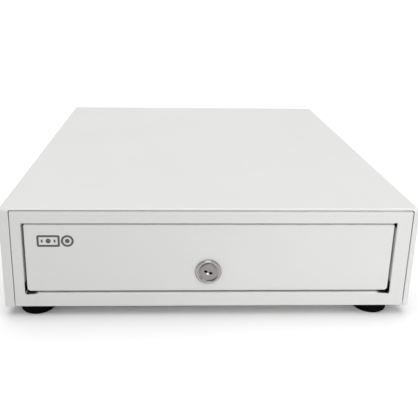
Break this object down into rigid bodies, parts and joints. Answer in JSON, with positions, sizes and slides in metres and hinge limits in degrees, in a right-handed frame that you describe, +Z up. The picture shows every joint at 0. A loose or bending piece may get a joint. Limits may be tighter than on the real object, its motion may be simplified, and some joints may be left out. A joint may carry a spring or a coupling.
{
  "type": "cash drawer",
  "caption": "Low flat-front steel cash drawer on rubber feet: wrap-over case, sliding drawer with note bays and coin cups, chrome cam lock and rear release socket.",
  "frame": {"origin": "bottom centre of the object, on the surface it stands on", "axes": "+X to the right seen from the front, +Y towards the rear, +Z up; the drawer opens towards -Y"},
  "size_m": [0.4132, 0.4174, 0.1174],
  "materials": {
    "white_paint": "satin powder coat, very light warm grey-white",
    "zinc_steel": "bright zinc plate on pressed sheet steel",
    "bright_steel": "plated steel fasteners, pins and balls",
    "spring_steel": "drawn spring wire and strip",
    "cage_steel": "thin pressed cage strip",
    "rubber": "matte black rubber",
    "black_plastic": "fine-textured black ABS",
    "cord_sheath": "black PVC sheath",
    "copper_winding": "enamelled copper wire, layer wound",
    "lock_chrome": "polished chrome plate on zinc die casting"
  },
  "bodies": {
    "case": {"top_cover": "white_paint", "base_pan": "white_paint", "rear_panel": "white_paint", "front_frame": "white_paint", "slide_bracket_left": "zinc_steel", "slide_bracket_right": "zinc_steel", "slide_outer_left": "zinc_steel", "slide_outer_right": "zinc_steel", "outer_rivets": "bright_steel", "slide_stops": "black_plastic", "foot_front_left": "rubber", "foot_front_right": "rubber", "foot_rear_left": "rubber", "foot_rear_right": "rubber", "foot_screws": "bright_steel", "cover_screws": "bright_steel", "lock_keeper": "zinc_steel", "latch_bracket": "zinc_steel", "latch_pin": "bright_steel", "solenoid_frame": "zinc_steel", "solenoid_bobbin": "black_plastic", "solenoid_coil": "copper_winding", "plunger_spring": "spring_steel", "switch_bracket": "zinc_steel", "microswitch": "black_plastic", "switch_leaf": "spring_steel", "ejector_rod": "bright_steel", "ejector_spring": "spring_steel", "cable_socket": "black_plastic", "solenoid_lead": "cord_sheath"},
    "drawer": {"drawer_tray": "zinc_steel", "drawer_front": "white_paint", "front_nuts": "bright_steel", "slide_inner_left": "zinc_steel", "slide_inner_right": "zinc_steel", "inner_rivets": "bright_steel", "strike_plate": "zinc_steel", "strike_rivets": "bright_steel", "till_tray": "black_plastic", "coin_tray": "black_plastic", "clip_axle": "bright_steel", "clip_springs": "spring_steel", "lock_housing": "lock_chrome", "lock_nut": "lock_chrome"},
    "cage_left": {"ball_cage_left": "cage_steel", "slide_balls_left": "bright_steel"},
    "cage_right": {"ball_cage_right": "cage_steel", "slide_balls_right": "bright_steel"},
    "lock": {"lock_plug": "lock_chrome", "lock_cam": "zinc_steel", "cam_nut": "bright_steel"},
    "latch": {"latch_lever": "zinc_steel"},
    "plunger": {"solenoid_plunger": "bright_steel"},
    "clip_1": {"bill_clip_1": "black_plastic"},
    "clip_2": {"bill_clip_2": "black_plastic"},
    "clip_3": {"bill_clip_3": "black_plastic"},
    "clip_4": {"bill_clip_4": "black_plastic"}
  },
  "joints": [
    {"name": "drawer_slide", "type": "slide", "parent": "case", "child": "drawer", "axis": [0, -1, 0], "range_m": [0, 0.26]},
    {"name": "cage_slide_left", "type": "slide", "parent": "case", "child": "cage_left", "axis": [0, -1, 0], "range_m": [0, 0.13]},
    {"name": "cage_slide_right", "type": "slide", "parent": "case", "child": "cage_right", "axis": [0, -1, 0], "range_m": [0, 0.13]},
    {"name": "lock_turn", "type": "hinge", "parent": "drawer", "child": "lock", "pos_m": [-0.0012, -0.1878, 0.0499], "axis": [0, 1, 0], "range_deg": [0, 90]},
    {"name": "latch_turn", "type": "hinge", "parent": "case", "child": "latch", "pos_m": [0, 0.176, 0.063], "axis": [1, 0, 0], "range_deg": [0, 15]},
    {"name": "plunger_slide", "type": "slide", "parent": "case", "child": "plunger", "axis": [0, 0, 1], "range_m": [0, 0.0031], "deforming": ["plunger_spring"]},
    {"name": "clip_turn_1", "type": "hinge", "parent": "drawer", "child": "clip_1", "pos_m": [-0.12705, 0.136, 0.071], "axis": [-1, 0, 0], "range_deg": [0, 33], "stiffness_Nm_per_rad": 0.04, "springref_deg": -34.38},
    {"name": "clip_turn_2", "type": "hinge", "parent": "drawer", "child": "clip_2", "pos_m": [-0.04235, 0.136, 0.071], "axis": [-1, 0, 0], "range_deg": [0, 33], "stiffness_Nm_per_rad": 0.04, "springref_deg": -34.38},
    {"name": "clip_turn_3", "type": "hinge", "parent": "drawer", "child": "clip_3", "pos_m": [0.04235, 0.136, 0.071], "axis": [-1, 0, 0], "range_deg": [0, 33], "stiffness_Nm_per_rad": 0.04, "springref_deg": -34.38},
    {"name": "clip_turn_4", "type": "hinge", "parent": "drawer", "child": "clip_4", "pos_m": [0.12705, 0.136, 0.071], "axis": [-1, 0, 0], "range_deg": [0, 33], "stiffness_Nm_per_rad": 0.04, "springref_deg": -34.38}
  ],
  "couplings": [
    {"joint": "cage_slide_left", "follows": "drawer_slide", "ratio": 0.5},
    {"joint": "cage_slide_right", "follows": "drawer_slide", "ratio": 0.5},
    {"joint": "latch_turn", "follows": "plunger_slide", "rad_per_m": 84.3}
  ]
}
